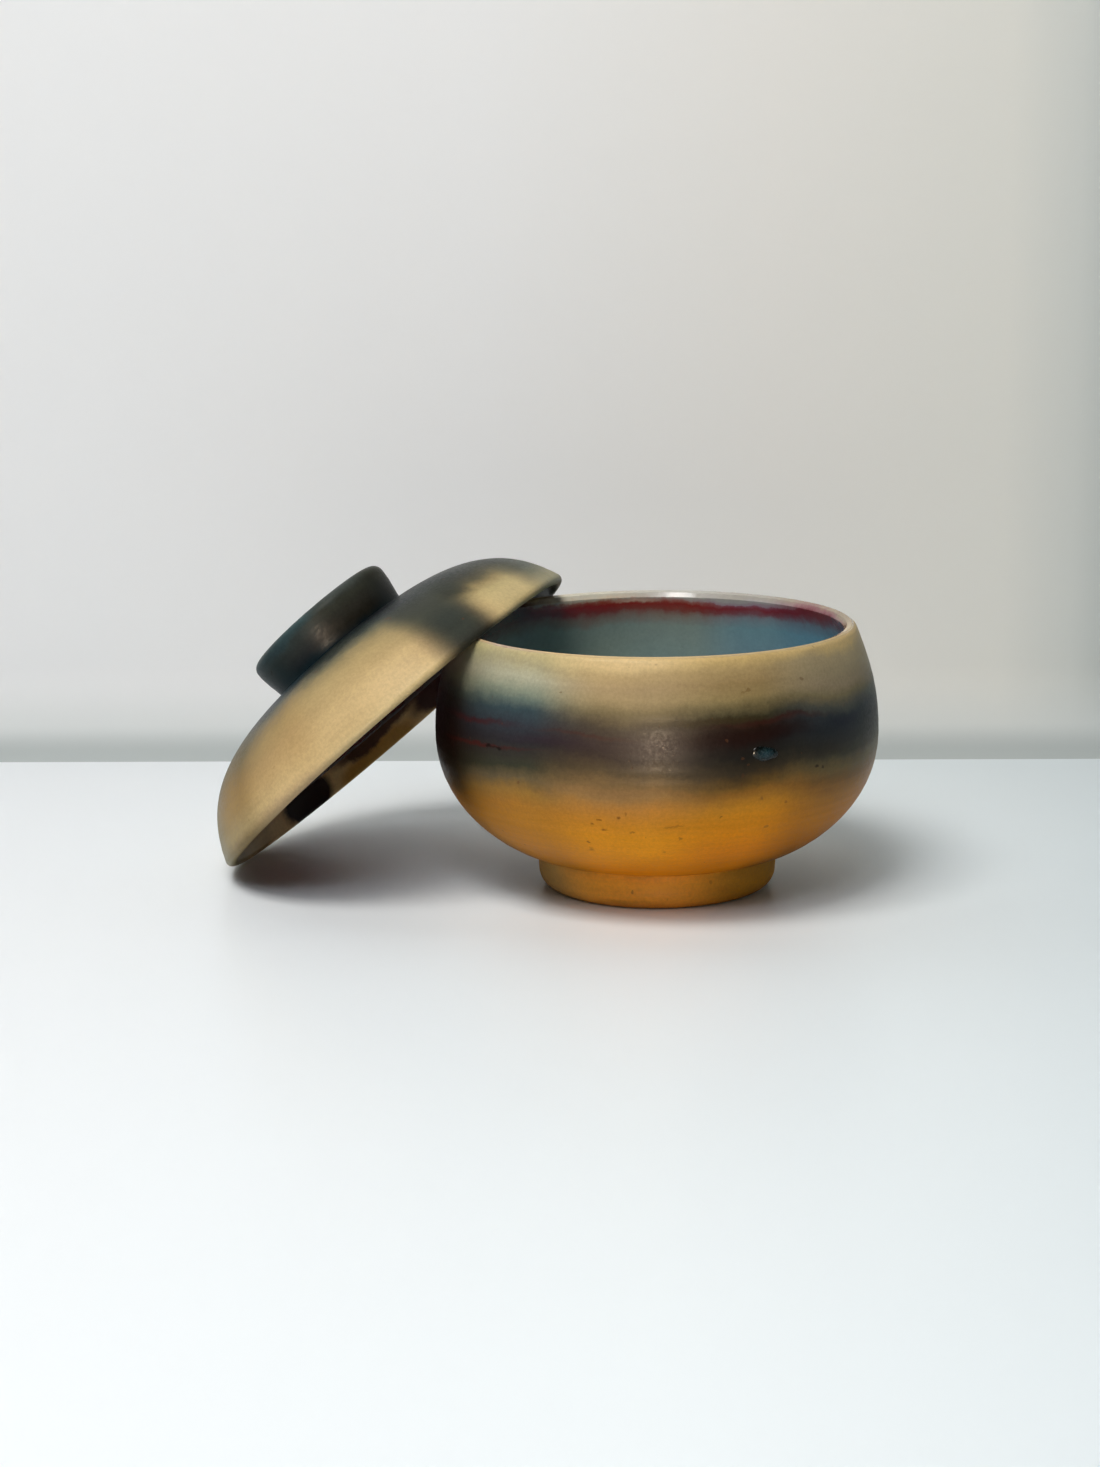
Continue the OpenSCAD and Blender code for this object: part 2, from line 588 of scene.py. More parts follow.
@dataclass(frozen=True)
class SmokedClay:
    """Stoneware clay, burnished and smoke-fired: satin, with smoke bands, turning lines and grit.

    It gives the eye a warm golden skin with soft dark clouds, a dry fine grain and small iron specks.
    """

    name: str
    roughness: float = 0.38
    gloss: float = 0.10
    line_mm: float = 1.44
    line_stretch: float = 14.0
    line_fall: float = 0.6
    grain_bump_mm: float = 0.035
    line_bump_mm: float = 0.03
    pit_mm: float = 0.06
    mottle: float = 0.05
    iron: str = "5a3418"
    iron_share: float = 0.4

    def level_lines(self, bench: Bench, at: object) -> bpy.types.NodeSocket:
        """Coordinates squeezed round the axis, so that a noise on them runs in level lines.

        Args:
            bench: The material's nodes.
            at: The piece's own coordinates.

        Returns:
            The squeezed vector.
        """
        part = bench.add("SeparateXYZ", (at,)).node.outputs
        flat = bench.add("VectorMath", (at, (1, 1, 0)), operation="MULTIPLY")
        reach = bench.add("VectorMath", (flat,), 1, operation="LENGTH")
        fall = bench.add("Math", (reach, self.line_fall), operation="MULTIPLY")
        x, y = (bench.add("Math", (part[i], self.line_stretch), operation="DIVIDE") for i in (0, 1))
        return bench.add("CombineXYZ", (x, y, bench.add("Math", (part[2], fall), operation="ADD")))

    def dress(self, painter: Painter) -> bpy.types.Material:
        """Builds the material for one painted wall.

        Args:
            painter: The wall's sides and marks.

        Returns:
            The material.
        """
        bench = Bench(self.name)
        at = painter.local(bench)
        paint = painter.colour(bench, at)
        level = self.level_lines(bench, at)
        lines = bench.add("TexNoise", Grain(self.line_mm, 3.0, 0.65).at(level))
        broad = bench.add("TexNoise", Grain(6.5).at(level))
        cloud = bench.add("TexNoise", Grain(16.0, 3.0).at(at))
        grain = bench.add("TexNoise", Grain(0.99, 2.0, 0.7).at(at))
        # Mottle: slow clouds, level streaks and a fine grain, each a few percent of the colour.
        tones = ((cloud, 0.25, self.mottle), (lines, 0.2, 0.05), (broad, 0.2, 0.05), (grain, 0.25, 0.08))
        for noise, low, depth in tones:
            tone = bench.add("MapRange", (noise, low, 1 - low, 1 - depth, 1 + depth), **SMOOTH)
            paint = bench.add("VectorMath", {0: paint, 3: tone}, operation="SCALE")
        # Iron specks: only the highest peaks of a 2 mm noise, thinned out by a slower one.
        specks = bench.add("TexNoise", Grain(2.2, 0.0).at(at))
        specks = bench.add("MapRange", (specks, 0.80, 0.83, 0.0, self.iron_share), **SMOOTH)
        gate = bench.add("TexNoise", Grain(9.0, 1.0).at(at))
        gate = bench.add("MapRange", (gate, 0.5, 0.62, 0.0, 1.0), **SMOOTH)
        specks = bench.add("Math", (specks, gate), operation="MULTIPLY")
        paint = bench.add("Mix", {0: specks, 6: paint, 7: linear(self.iron)}, **COLOURS)
        dry = bench.add("MapRange", (grain, 0.2, 0.8, self.roughness - 0.07, self.roughness + 0.09), **SMOOTH)
        hazy = bench.add("MapRange", (cloud, 0.3, 0.7, -0.03, 0.03), **SMOOTH)
        rough = bench.add("Math", (dry, hazy), operation="ADD")
        raised = ((grain, self.grain_bump_mm, False), (lines, self.line_bump_mm, False))
        return bench.skin(paint, rough, self.gloss, (*raised, (specks, self.pit_mm, True)))


@dataclass(frozen=True)
class PooledGlaze:
    """A glossy stoneware glaze that breaks in colour with height and pools a little.

    It gives the eye depth, a wet shine, soft curtains of colour and pinholes.
    """

    name: str
    roughness: float = 0.06
    gloss: float = 0.4
    curtain: float = 0.03
    hang: float = 0.18
    ripple_mm: float = 0.05
    pinhole_mm: float = 0.05

    def dress(self, painter: Painter) -> bpy.types.Material:
        """Builds the material for one painted glaze.

        Args:
            painter: The glaze's sides and marks, with a painted highlight in the bowl's lining.

        Returns:
            The material.
        """
        bench = Bench(self.name)
        at = painter.local(bench)
        paint = painter.colour(bench, at)
        hanging = bench.add("VectorMath", (at, (1, 1, self.hang)), operation="MULTIPLY")
        curtain = bench.add("TexNoise", Grain(5.0, 3.0).at(hanging))
        fleck = bench.add("TexNoise", Grain(1.3, 3.0, 0.7).at(at))
        wave = bench.add("TexNoise", Grain(22.0, 1.0).at(at))
        pinholes = bench.add("TexNoise", Grain(1.9, 0.0).at(at))
        for noise, depth in ((curtain, self.curtain), (fleck, 0.05)):
            tone = bench.add("MapRange", (noise, 0.25, 0.75, 1 - depth, 1 + depth), **SMOOTH)
            paint = bench.add("VectorMath", {0: paint, 3: tone}, operation="SCALE")
        pinholes = bench.add("MapRange", (pinholes, 0.78, 0.82, 0.0, 1.0), **SMOOTH)
        rough = bench.add("MapRange", (fleck, 0.2, 0.8, self.roughness, self.roughness + 0.06), **SMOOTH)
        relief = ((wave, self.ripple_mm, False), (pinholes, self.pinhole_mm, True))
        return bench.skin(paint, rough, self.gloss, relief)


@dataclass(frozen=True)
class DropGlass:
    """A drop of dark copper glaze, melted to glass: teal in the middle, black where it thins at its edge.

    Its direction is in degrees. Its place and its half sizes are in millimetres.
    """

    name: str
    azimuth: float = -62.6
    height: float = 55.4
    out: float = 70.2
    half_width: float = 4.3
    half_height: float = 2.35
    deep: float = 20.0
    roughness: float = 0.16
    gloss: float = 0.3

    def dress(self) -> bpy.types.Material:
        """Builds the material from object coordinates about the drop's middle.

        Returns:
            The material.
        """
        bench = Bench(self.name)
        at = bench.add("TexCoord", out="Object")
        a = math.radians(self.azimuth)
        centre = (self.out * MM * math.cos(a), self.out * MM * math.sin(a), self.height * MM)
        size = (self.deep * MM, self.half_width * MM, self.half_height * MM)
        around = bench.add("Mapping", (at, centre, (0, 0, a), size), vector_type="TEXTURE")
        away = bench.add("VectorMath", (around,), 1, operation="LENGTH")
        ramp = [(0.0, "20383e"), (0.45, "14282c"), (0.78, "0b1412"), (1.0, "040403")]
        grain = bench.add("TexNoise", Grain(0.8, 3.0, 0.7).at(at))
        share = bench.add("MapRange", (grain, 0.5, 0.75, 0.0, 0.25), **SMOOTH)
        below = bench.add("ValToRGB", (away,), ramp=ramp)
        paint = bench.add("Mix", {0: share, 6: below, 7: linear("3c5c62")}, **COLOURS)
        rough = bench.add("MapRange", (grain, 0.2, 0.8, self.roughness, self.roughness + 0.2), **SMOOTH)
        return bench.skin(paint, rough, self.gloss, ((grain, 0.04, False),))


# ---------------- the pieces


def dressed(piece: bpy.types.Object, material: bpy.types.Material, body: Body, node: str) -> None:
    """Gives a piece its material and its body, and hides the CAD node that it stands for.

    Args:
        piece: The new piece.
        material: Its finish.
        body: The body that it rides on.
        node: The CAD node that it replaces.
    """
    piece.data.materials.append(material)
    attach(piece, body.value)
    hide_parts(node)
    LOG.info("%s: %d faces for %s, in %s", piece.name, len(piece.data.polygons), node, material.name)


@dataclass
class Bowl:
    """The bowl: thrown wall, turned foot, glaze lining and a glaze drop. Sizes in millimetres."""

    belly_diameter: float = 140.2
    belly_height: float = 50.4
    lip_diameter: float = 122.6
    lip_thickness: float = 3.9
    shoulder_lean: float = 21.2
    belly_thickness: float = 4.6
    heel_thickness: float = 6.2
    foot_top_diameter: float = 76.2
    foot_base_diameter: float = 75.2
    foot_height: float = 11.7
    foot_bore: float = 54.0
    recess: float = 8.0
    foot_edge: float = 0.9
    foot_rounding: float = 5.6
    heel_flare: tuple[float, float] = (7.0, 0.5)
    belly_pull: float = 25.6
    shoulder_pull: float = 12.8
    floor_drop: float = 3.0
    floor_flat: float = 14.0
    glaze_thickness: float = 0.6
    glaze_stand: float = 0.3
    glass: DropGlass = DropGlass("copper_glass_drop")
    height: float = field(default_factory=lambda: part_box("bowl_body")[1].z / MM)
    waver: HandThrown = HandThrown()

    def __post_init__(self) -> None:
        """Works out the section's curves from the sizes."""
        lean = math.radians(self.shoulder_lean)
        lip_r = self.lip_thickness / 2
        belly_r = self.belly_diameter / 2
        self.lip_centre = (self.lip_diameter / 2, self.height - lip_r)
        end = (self.lip_centre[0] + lip_r * math.cos(lean), self.lip_centre[1] + lip_r * math.sin(lean))
        heel = (self.foot_top_diameter / 2, self.foot_height)
        belly = (belly_r, self.belly_height)
        self.lower = [heel, (heel[0] + self.heel_flare[0], heel[1] + self.heel_flare[1]),
                      (belly_r, self.belly_height - self.belly_pull), belly]
        pull = self.shoulder_pull
        before = (end[0] + pull * math.sin(lean), end[1] - pull * math.cos(lean))
        self.upper = [belly, (belly_r, self.belly_height + pull), before, end]
        self.outside = joined(bezier(self.lower, 160), bezier(self.upper, 120))

    def wall_radius(self, height: float) -> float:
        """The outside radius at a height."""
        return float(np.interp(height, self.outside[:, 1], self.outside[:, 0]))

    def inside(self, extra: float) -> np.ndarray:
        """The inside of the wall from the lip down to the floor's middle, moved in by an extra depth.

        Args:
            extra: Depth added to the clay's own thickness.

        Returns:
            Points as (radius, height).
        """
        up, low = bezier(self.upper, 60), bezier(self.lower, 60, 0.12)
        depth_up = np.linspace(self.belly_thickness, self.lip_thickness, len(up)) + extra
        depth_low = np.linspace(self.heel_thickness, self.belly_thickness, len(low)) + extra
        wall_up, wall_low = beside(up, depth_up), beside(low, depth_low)
        floor = self.foot_height + self.heel_thickness - self.floor_drop + extra
        r, h = wall_low[0]
        middle = bezier([(r, h), (r - 7, h - 1.6), (self.floor_flat, floor), (0, floor)], 40)
        return joined(wall_up[::-1], wall_low[::-1], middle)

    def body(self) -> bpy.types.Object:
        """The thrown wall: underside, outside, rounded lip and inside, as one closed skin.

        Returns:
            The piece.
        """
        bore = self.foot_bore / 2
        lip = arc(self.lip_centre, self.lip_thickness / 2, self.shoulder_lean, 180 + self.shoulder_lean, 16)
        under = straight((0, self.recess), (bore - 0.6, self.recess), 4.0)
        hidden = np.array([[bore, self.recess + 0.5], [bore, self.foot_height]])
        seat = straight((bore, self.foot_height), (self.foot_top_diameter / 2, self.foot_height), 2.0)
        outside = evenly(self.outside, 0.58)
        inside = evenly(self.inside(0.0), 1.6)
        section = joined(under, hidden, seat, outside, lip, inside)
        return thrown("bowl_thrown_wall", section, Shape.POLES, self.waver)

    def foot(self) -> bpy.types.Object:
        """The turned foot ring: a closed loop with worn edges and a slight flare.

        Returns:
            The piece.
        """
        bore, edge, base = self.foot_bore / 2, self.foot_edge, self.foot_base_diameter / 2
        corner, mouth, tall = self.foot_rounding, bore + 0.2, self.foot_height - JOIN_GAP
        heel = (self.foot_top_diameter / 2, tall)
        inner = straight((bore, tall), (mouth, edge), 0.8)
        inner_edge = arc((mouth + edge, edge), edge, 180, 270, 6)
        sole = straight((mouth + edge, 0.0), (base - corner, 0.0), 0.7)
        outer_edge = arc((base - corner, corner), corner, 270, 360, 24)
        flank = straight((base, corner), heel, 0.4)
        top = straight(heel, (bore, tall), 2.0)
        loop = joined(inner, inner_edge, sole, outer_edge, flank, top)[:-1]
        return thrown("bowl_foot_ring_turned", loop, Shape.RING, self.waver)

    def lining(self) -> bpy.types.Object:
        """The glaze inside: a coat from the lip's crest to the floor, whose skin stands just off the clay.

        The coat's other face lies in the clay, deeper down the wall than at the lip. Known flaw: within
        about 2.4 mm of the axis the skin dips under the clay floor.

        Returns:
            The piece.
        """
        over = arc(self.lip_centre, self.lip_thickness / 2, 64, 180 + self.shoulder_lean, 36)
        line = joined(evenly(over, 0.25), evenly(self.inside(0.0), 0.8))
        run = running(line)
        share = 0.25 * smooth_rise(run, 0.0, 1.0) + 0.75 * smooth_rise(run, 2.5, 10.0)
        thick = self.glaze_thickness * share - 0.05 * (1 - smooth_rise(run, 0.0, 0.5))
        normals = left_normals(line)
        normals[-1] = (0.0, 1.0)
        face = line + normals * thick[:, None]
        face[-1, 0] = 0.0
        skin = beside(line, -self.glaze_stand)[::-6]
        skin[0] = (0.0, line[-1, 1] - self.glaze_stand)
        return thrown("bowl_glaze_lining_melted", joined(skin, face), Shape.POLES, self.waver)

    def drop(self) -> bpy.types.Object:
        """The glaze drop: a low crinkled mound on the belly, rim to crown along q and round it along p.

        Each point lies on the wall at (azimuth + u / r, height + v), with u and v an uneven ellipse of the
        drop's half sizes, and stands out by a flattened dome with small crests.

        Returns:
            The piece.
        """
        rings, spokes, rise, sunk, keel = 25, 96, 0.86, 0.15, 0.6
        q = np.linspace(1.0, 0.0, rings + 1)[:-1, None]
        p = np.linspace(0, 2 * np.pi, spokes, endpoint=False)[None, :]
        uneven = 1 + 0.07 * np.cos(2 * p + 0.8) + 0.06 * np.cos(3 * p - 0.4) + 0.035 * np.cos(5 * p + 1.9)
        u = self.glass.half_width * q * uneven * np.cos(p)
        v = self.glass.half_height * q * uneven * np.sin(p) - 0.045 * u
        crest = 0.10 * np.sin(2.3 * u + 0.5) * np.cos(3.1 * v) + 0.05 * np.sin(5.2 * u + 4.3 * v)
        out = rise * np.sqrt(np.clip(1 - q**2.6, 0, 1)) * (1 + 0.5 * crest) - sunk
        poles = np.array([[0.0, 0.0, -keel], [0.0, 0.0, rise - sunk]])
        flat = np.vstack([np.stack([u, v, out], -1).reshape(-1, 3), poles])
        z = self.glass.height + flat[:, 1]
        r = np.interp(z, self.outside[:, 1], self.outside[:, 0]) + flat[:, 2]
        a = math.radians(self.glass.azimuth) + flat[:, 0] / r
        points = np.stack([r * np.cos(a), r * np.sin(a), z], -1)
        return mesh_object("glaze_drop", points, faces_of(rings, spokes, Shape.POLES), 60.0)

    def build(self) -> None:
        """Makes and dresses the bowl's four pieces."""
        upright = Matrix.Identity(4)
        inner = self.inside(self.glaze_thickness)[::-1]
        clay = Painter(upright, self.wall_radius, BOWL_TOP, BOWL_SIDES, BOWL_STAINS)
        foot = Painter(upright, lambda z: self.foot_base_diameter / 2, FOOT_TOP, FOOT_SIDES, FOOT_STAINS)
        glazed = lambda z: float(np.interp(z, inner[:, 1], inner[:, 0]))
        pool = Painter(upright, glazed, BOWL_TOP, LINING_SIDES, LINING_STAINS_AND_HIGHLIGHT)
        wall = SmokedClay("smoke_fired_stoneware").dress(clay)
        dressed(self.body(), wall, Body.BOWL, "bowl_body")
        turned_clay = SmokedClay("turned_foot_stoneware", roughness=0.5, gloss=0.08, line_mm=1.12)
        dressed(self.foot(), turned_clay.dress(foot), Body.BOWL, "bowl_foot_ring")
        lining = PooledGlaze("celadon_glaze").dress(pool)
        dressed(self.lining(), lining, Body.BOWL, "bowl_glaze_lining")
        dressed(self.drop(), self.glass.dress(), Body.BOWL, "glaze_bead")


@dataclass
class Lid:
    """The cap lid: thrown dome, grip ring and red glaze lining, leaning on the bowl. Sizes in millimetres."""

    diameter: float = 142.8
    rim_thickness: float = 3.6
    dome_height: float = 30.4
    dome_lean: float = 21.4
    dome_thickness: float = 4.8
    bare_band: float = 7.0
    grip_root_diameter: float = 50.0
    grip_top_diameter: float = 52.8
    grip_height: float = 14.2
    grip_thickness: float = 5.4
    grip_offset: float = 2.8
    shelf_width: float = 3.2
    rim_pull: float = 15.0
    brow: tuple[float, float] = (28.1, 2.8)
    crown_diameter: float = 27.0
    crown_rise: float = 0.9
    glaze_thickness: float = 0.6
    glaze_seat: float = 0.3
    tilt: float = 42.4
    azimuth: float = 166.0
    reach: float = 86.5
    waver: HandThrown = HandThrown(oval=0.05, three_lobed=0.03, pitch=3.7, twist=2.0)

    def __post_init__(self) -> None:
        """Works out the section's curves and where the lid leans."""
        lean, tilt = math.radians(self.dome_lean), math.radians(self.tilt)
        rim_r = self.rim_thickness / 2
        self.rim_centre = (self.diameter / 2 - rim_r, rim_r)
        out = (self.rim_centre[0] + rim_r * math.cos(lean), self.rim_centre[1] + rim_r * math.sin(lean))
        self.root = (self.grip_root_diameter / 2, self.dome_height)
        first = (out[0] - self.rim_pull * math.sin(lean), out[1] + self.rim_pull * math.cos(lean))
        shelf = self.root[0] + self.shelf_width
        brow = (shelf + self.brow[0], self.dome_height - self.brow[1])
        self.side = [out, first, brow, (shelf, self.dome_height)]
        self.outside = bezier(self.side, 200)
        lift = self.rim_centre[0] * math.sin(tilt) + rim_r * (1 - math.cos(tilt))
        turn = Matrix.Rotation(math.radians(self.azimuth), 4, "Z")
        lean_back = Matrix.Rotation(tilt, 4, "Y")
        self.place = turn @ Matrix.Translation((self.reach, 0, lift)) @ lean_back
        self.grip_place = self.place @ Matrix.Translation((-self.grip_offset, 0, 0))

    def wall_radius(self, height: float) -> float:
        """The dome's outside radius at a height above the rim."""
        return float(np.interp(height, self.outside[:, 1], self.outside[:, 0]))

    def inside(self, extra: float) -> np.ndarray:
        """The inside of the dome from just above the rim up to its middle, moved in by an extra depth.

        Args:
            extra: Depth added to the clay's own thickness.

        Returns:
            Points as (radius, height).
        """
        line = bezier(self.side, 90)
        depth = np.linspace(self.rim_thickness, self.dome_thickness, len(line)) + extra
        top = self.dome_height + 0.8 - self.dome_thickness - extra
        wall = beside(line, depth)
        r, h = wall[-1]
        return joined(wall, bezier([(r, h), (r - 6, h + 0.3), (6, top), (0, top)], 24))

    def dome(self) -> bpy.types.Object:
        """The thrown dome: rounded rim, outside, crown and inside, as one closed skin.

        Returns:
            The piece.
        """
        rim = arc(self.rim_centre, self.rim_thickness / 2, 180 + self.dome_lean, 360 + self.dome_lean, 18)
        top, peak, wide = self.dome_height, self.dome_height + self.crown_rise, self.crown_diameter / 2
        seat = straight(self.side[-1], (wide, top), 1.2)
        crown = bezier([(wide, top), (9, top + 0.6), (5, peak), (0, peak)], 24)
        inner = evenly(self.inside(0.0), 1.4)[::-1]
        section = joined(inner, rim, evenly(self.outside, 0.5), seat, crown)
        return thrown("lid_thrown_dome", section, Shape.POLES, self.waver, self.place)

    def grip(self) -> bpy.types.Object:
        """The grip ring: a flared wall with a fillet at its root, a full rounded top and a hollow inside.

        Returns:
            The piece.
        """
        foot, tall = self.dome_height - JOIN_GAP, self.dome_height + self.grip_height
        root, wide = self.root[0], self.grip_top_diameter / 2
        inner = root - self.grip_thickness
        flank = bezier([(root, foot), (root - 0.2, foot + 2.2),
                        (wide, self.dome_height + self.grip_height * 0.45), (wide, tall - 3)], 40)
        shoulder = bezier([(wide, tall - 3), (wide, tall - 1.2), (wide - 1.4, tall), (wide - 3, tall)], 20)
        mouth = (inner + 0.2, tall - 2.4)
        lip = bezier([(wide - 3, tall), (wide - 4.2, tall), (mouth[0], tall - 0.8), mouth], 20)
        bore = straight(mouth, (inner, foot), 0.7)
        base = straight((inner, foot), (root, foot), 1.8)[:-1]
        loop = joined(evenly(joined(flank, shoulder, lip), 0.4), bore, base)
        return thrown("lid_grip_ring_thrown", loop, Shape.RING, self.waver, self.grip_place)

    def lining(self) -> bpy.types.Object:
        """The red glaze inside: it begins above the bare band with a rounded edge and pools at the crown.

        Returns:
            The piece.
        """
        line = self.inside(0.0)
        line = evenly(line[line[:, 1] >= self.bare_band], 0.9)
        run = running(line)
        thick = self.glaze_thickness * np.sqrt(np.clip(run / 1.4, 0, 1)) - 0.1 * (run < 0.01)
        normals = left_normals(line)
        normals[-1] = (0.0, -1.0)
        face = line + normals * thick[:, None]
        face[-1, 0] = 0.0
        back = np.vstack([beside(line, -self.glaze_seat)[::6], [[0.0, line[-1, 1] + self.glaze_seat]]])
        section = joined(face[::-1], back)
        return thrown("lid_glaze_lining_melted", section, Shape.POLES, self.waver, self.place)

    def build(self) -> None:
        """Makes and dresses the lid's three pieces."""
        clay = Painter(
            self.place, self.wall_radius, LID_TOP, LID_SIDES, LID_STAINS, mid_radius=70.0, mid_slope=0.39
        )
        top = self.grip_top_diameter / 2
        ring = Painter(self.grip_place, lambda z: top, LID_TOP, GRIP_SIDES, GRIP_STAINS)
        dome = self.dome()
        dressed(dome, SmokedClay("smoke_fired_lid_clay").dress(clay), Body.LID, "lid_dome")
        smoked = SmokedClay("carbon_black_clay", roughness=0.4, gloss=0.06, iron="0b0c0c", mottle=0.08)
        dressed(self.grip(), smoked.dress(ring), Body.LID, "lid_grip_ring")
        glaze = Painter(self.place, self.wall_radius, LID_TOP, RED_SIDES, RED_STAINS)
        red = PooledGlaze("copper_red_glaze", curtain=0.3).dress(glaze)
        dressed(self.lining(), red, Body.LID, "lid_glaze_lining")
        low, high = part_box("lid_dome")
        off = max((Vector(c) - low).length for c in dome.bound_box)
        LOG.info("lid dome: %.2f mm across its box, packed %.2f", off / MM, (high - low).length / MM)


# ---------------- palettes, as sRGB albedo up each wall, with painted light and a painted highlight where noted

BOWL_SIDES = (
    Side(90, 0,
         "10 c09040, 22 cc8f34, 34 bb8234, 42 8c6c3c, 49 4e4430, 55 22201e, 61 1c1a1c, 66 3c403c, "
         "73 948a66, 78 b09a70, 83 c8b07c"),
    Side(-180, 62,
         "14 6c4a22, 22 96702e, 32 9a6f2c, 38 6a4c22, 44 3a2c18, 50 20180f, 56 1a120c, 62 1b1714, "
         "68 2f302b, 74 62604c, 79 8a8568, 83 a89f74"),
    Side(0, 60,
         "14 7c4c08, 22 a06414, 33 a06c24, 40 84602c, 46 62502e, 51 363024, 56 2a2724, 62 2e2e2e, "
         "67 565448, 73 887a5c, 83 b89e6c"),
    Side(-150, 32,
         "14 6a4616, 22 a06c20, 30 a46c20, 35 7c5218, 39 4a3410, 43 281d0c, 48 1c150c, 54 180e09, "
         "58 1a130f, 62 1a1614, 66 22231e, 69 363a32, 73 6a6955, 77 86816a, 80 918d6e, 83 aaa176"),
    Side(-122, 32,
         "14 a0640a, 22 bc7a16, 30 c0801f, 36 b47a28, 41 967032, 45 65563a, 49 363628, 53 312e28, "
         "57 29272a, 62 30343a, 66 36454a, 69 5c6860, 72 858b78, 76 a3a088, 80 a39a78, 83 b4a67a"),
    Side(-92, 32,
         "14 d27a00, 22 e6940e, 29 e69614, 35 d68c24, 40 c28336, 44 a87c44, 48 84663e, 52 58472f, "
         "56 3c2f26, 60 3e302a, 64 4c4032, 68 786848, 72 a08a62, 76 a58d66, 80 b0976a, 83 cdb280"),
    Side(-60, 32,
         "14 c47200, 22 da8000, 29 de8800, 35 d68810, 39 ca861e, 43 a67024, 47 664a1e, 51 33291a, "
         "55 191611, 59 1a100c, 63 29190f, 66 34301f, 69 665a3c, 72 8e7a50, 76 937b52, 80 a58d60, "
         "83 c2a66e"),
    Side(-32, 32,
         "14 6e4404, 22 a26000, 28 b4700a, 34 aa6e18, 39 946424, 43 785628, 47 655636, 51 3f3a2c, "
         "55 2c2b27, 59 24272a, 63 2e3336, 66 4c4c44, 69 74684c, 72 8b7c62, 76 948668, 80 9f8f6e, "
         "83 c0a672"),
)

BOWL_STAINS = (
    StainAndHighlight(-76, 18, 52, 8, "c87a04", 0.4),
    StainAndHighlight(-68, 60.5, 30, 3.6, "1e0905", 0.75, 0.2),
    StainAndHighlight(-74, 65.6, 24, 1.8, "38270f", 0.5),
    StainAndHighlight(-143, 61.6, 24, 1.5, "3c1414", 0.7),
    StainAndHighlight(-140, 54.6, 30, 1.0, "471611", 0.75),
    StainAndHighlight(-118, 58, 26, 2.6, "30202a", 0.45),
    StainAndHighlight(-108, 61.2, 22, 1.0, "47281f", 0.5),
    StainAndHighlight(-60, 64.0, 30, 1.4, "3a1310", 0.6),
    StainAndHighlight(-34, 61.5, 18, 3.0, "161a28", 0.6),
    StainAndHighlight(-47, 53, 26, 4.0, "1e1a14", 0.45),
    StainAndHighlight(-99, 45.0, 24, 3.6, "8d6c48", 0.35),
    StainAndHighlight(-137, 54.6, 1.6, 0.9, "0c0808", 0.9, 0.3),
    StainAndHighlight(-132.6, 54.2, 2.0, 1.0, "120a08", 0.9, 0.3),
    StainAndHighlight(-134.8, 54.3, 4.5, 0.5, "1a0c0a", 0.7, 0.2),
    StainAndHighlight(-46, 48.1, 1.3, 0.7, "1c120a", 0.8, 0.2),
    StainAndHighlight(-43.6, 48.0, 0.9, 0.8, "1c120a", 0.7, 0.2),
    StainAndHighlight(-63.3, 41.3, 0.9, 1.0, "6a4c24", 0.6, 0.2),
    StainAndHighlight(-73.5, 37.0, 0.6, 0.5, "5a3208", 0.7, 0.2),
    StainAndHighlight(-100.4, 37.9, 0.8, 0.9, "74400c", 0.8, 0.2),
    StainAndHighlight(-98.3, 38.9, 0.7, 1.2, "84500f", 0.5, 0.2),
    StainAndHighlight(-105.4, 35.6, 0.8, 0.6, "74400c", 0.75, 0.2),
    StainAndHighlight(-107, 34.4, 0.7, 0.6, "84480c", 0.7, 0.2),
    StainAndHighlight(-104.5, 32.5, 1.2, 0.7, "84440a", 0.65, 0.2),
    StainAndHighlight(-97, 32.6, 1.2, 0.6, "84440a", 0.6, 0.2),
    StainAndHighlight(-86, 34.1, 5.0, 0.5, "96540e", 0.5, 0.2, 3.0),
    StainAndHighlight(-83.5, 29.8, 0.9, 0.8, "864c08", 0.6, 0.2),
    StainAndHighlight(-110, 27.2, 0.8, 0.7, "783e06", 0.8, 0.2),
    StainAndHighlight(-110.4, 24.4, 1.2, 1.0, "844c08", 0.6, 0.2),
    StainAndHighlight(-88, 24.6, 0.9, 0.7, "905006", 0.5, 0.2),
)

FOOT_SIDES = (
    Side(90, 0, "0 b0823c, 2 ba8c46, 6 bd9048, 12 a87c34"),
    Side(-150, 60, "0 ba9150, 5 c49a58, 12 a88040"),
    # The foot's front side is partly the clay's own orange and partly painted light: it is brightened to
    # stand for front light that the lamps don't give.
    Side(-90, 62, "0 ec9c38, 3 faaa3c, 7 faaa34, 10 f09c2a, 12 c07a18"),
    Side(-30, 50, "0 bc8422, 5 ca8e2a, 12 a4721c"),
)
FOOT_STAINS = (
    StainAndHighlight(-110, 1.2, 14, 1.4, "b07c34", 0.4),
    StainAndHighlight(150, 6, 22, 6, "6a5436", 0.5),
)

